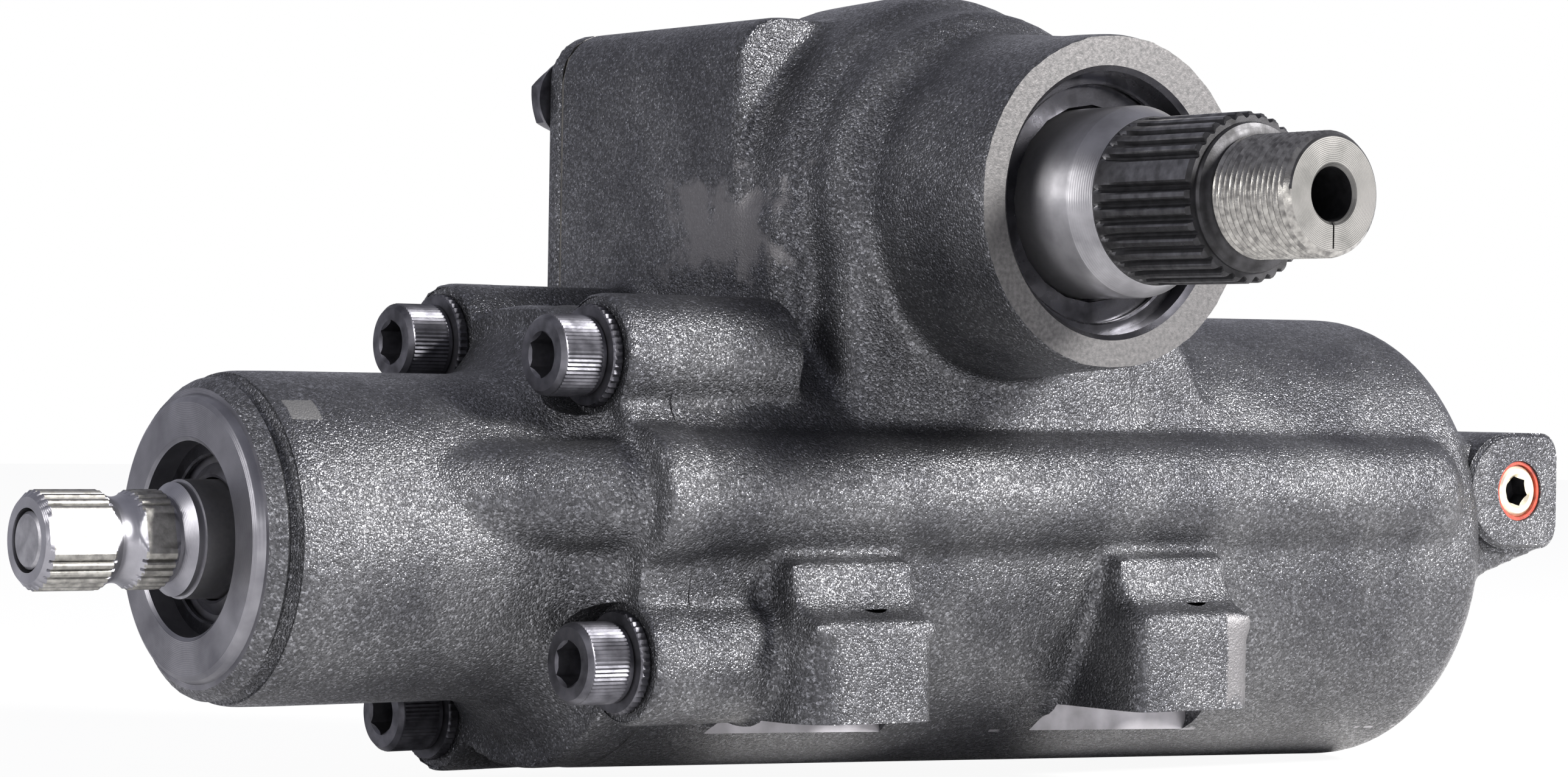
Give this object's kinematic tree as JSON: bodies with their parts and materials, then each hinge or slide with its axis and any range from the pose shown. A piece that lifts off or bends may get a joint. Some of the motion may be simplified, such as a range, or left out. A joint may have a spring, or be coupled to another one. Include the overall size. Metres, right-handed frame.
{
  "type": "power steering gearbox",
  "caption": "Integral recirculating-ball steering gear with a cast housing, splined input shaft, rack piston and a swinging toothed sector shaft.",
  "frame": {"origin": "centre of the input shaft's end face, where the steering column's joint goes on", "axes": "+X along the worm and piston to the closed end, -Y out along the sector shaft, +Z from the main bore up to the sector shaft"},
  "size_m": [0.357, 0.2264, 0.1644],
  "materials": {
    "cast_iron": "rough as-cast, dark, with bright grains",
    "machined_steel": "ground",
    "plated_steel": "bright, satin",
    "black_oxide": "black oxide, oiled",
    "forged_steel": "ground journal, dark oiled serration",
    "seal_rubber": "smooth",
    "red_sealant": "smooth",
    "brass": "yellow plated",
    "ptfe": "smooth",
    "gasket_fibre": "pressed fibre"
  },
  "bodies": {
    "housing": {"gear_housing": "cast_iron", "valve_housing": "cast_iron", "side_cover": "cast_iron", "side_cover_gasket": "gasket_fibre", "valve_screw_1": "black_oxide", "valve_screw_2": "black_oxide", "valve_screw_3": "black_oxide", "valve_screw_4": "black_oxide", "lock_washer_1": "black_oxide", "lock_washer_2": "black_oxide", "lock_washer_3": "black_oxide", "lock_washer_4": "black_oxide", "cover_bolt_1": "black_oxide", "cover_bolt_2": "black_oxide", "cover_bolt_3": "black_oxide", "cover_bolt_4": "black_oxide", "adjuster_screw": "machined_steel", "adjuster_locknut": "machined_steel", "sector_needle_bearing": "machined_steel", "cover_bush": "brass", "sector_oil_seal": "seal_rubber", "sector_backup_washer": "machined_steel", "sector_snap_ring": "black_oxide", "input_oil_seal": "seal_rubber", "input_dust_seal": "seal_rubber", "input_snap_ring": "black_oxide", "input_needle_bearing": "machined_steel", "thrust_bearing_front": "machined_steel", "thrust_bearing_rear": "machined_steel", "bearing_retainer": "machined_steel", "spigot_seal": "seal_rubber", "passage_plug": "brass", "passage_plug_seal": "red_sealant", "pressure_port_seat": "brass", "return_port_seat": "brass"},
    "sector": {"sector_shaft": "forged_steel"},
    "piston": {"rack_piston": "machined_steel", "piston_ring": "ptfe", "piston_end_plug": "machined_steel", "ball_guide": "machined_steel", "ball_1": "plated_steel", "ball_2": "plated_steel", "ball_3": "plated_steel", "ball_4": "plated_steel", "ball_5": "plated_steel", "ball_6": "plated_steel", "ball_7": "plated_steel"},
    "worm": {"worm_shaft": "machined_steel", "valve_sleeve": "machined_steel", "sleeve_ring_1": "ptfe", "sleeve_ring_2": "ptfe", "sleeve_ring_3": "ptfe", "torsion_pin": "machined_steel", "torsion_bar": "plated_steel"},
    "input": {"input_shaft": "plated_steel"}
  },
  "joints": [
    {"name": "sector_swing", "type": "hinge", "parent": "housing", "child": "sector", "pos_m": [0.1987, 0, 0.0684], "axis": [0, 1, 0], "range_deg": [-38, 38]},
    {"name": "piston_slide", "type": "slide", "parent": "housing", "child": "piston", "axis": [1, 0, 0], "range_m": [-0.02296, 0.02296]},
    {"name": "worm_spin", "type": "hinge", "parent": "housing", "child": "worm", "pos_m": [0.0986, 0, 0], "axis": [1, 0, 0], "range_deg": [-609, 609]},
    {"name": "torsion_twist", "type": "hinge", "parent": "worm", "child": "input", "pos_m": [0, 0, 0], "axis": [1, 0, 0], "range_deg": [-5, 5], "stiffness_Nm_per_rad": 90}
  ],
  "couplings": [
    {"joint": "piston_slide", "follows": "sector_swing", "m_per_rad": -0.0346},
    {"joint": "worm_spin", "follows": "sector_swing", "ratio": 16}
  ]
}
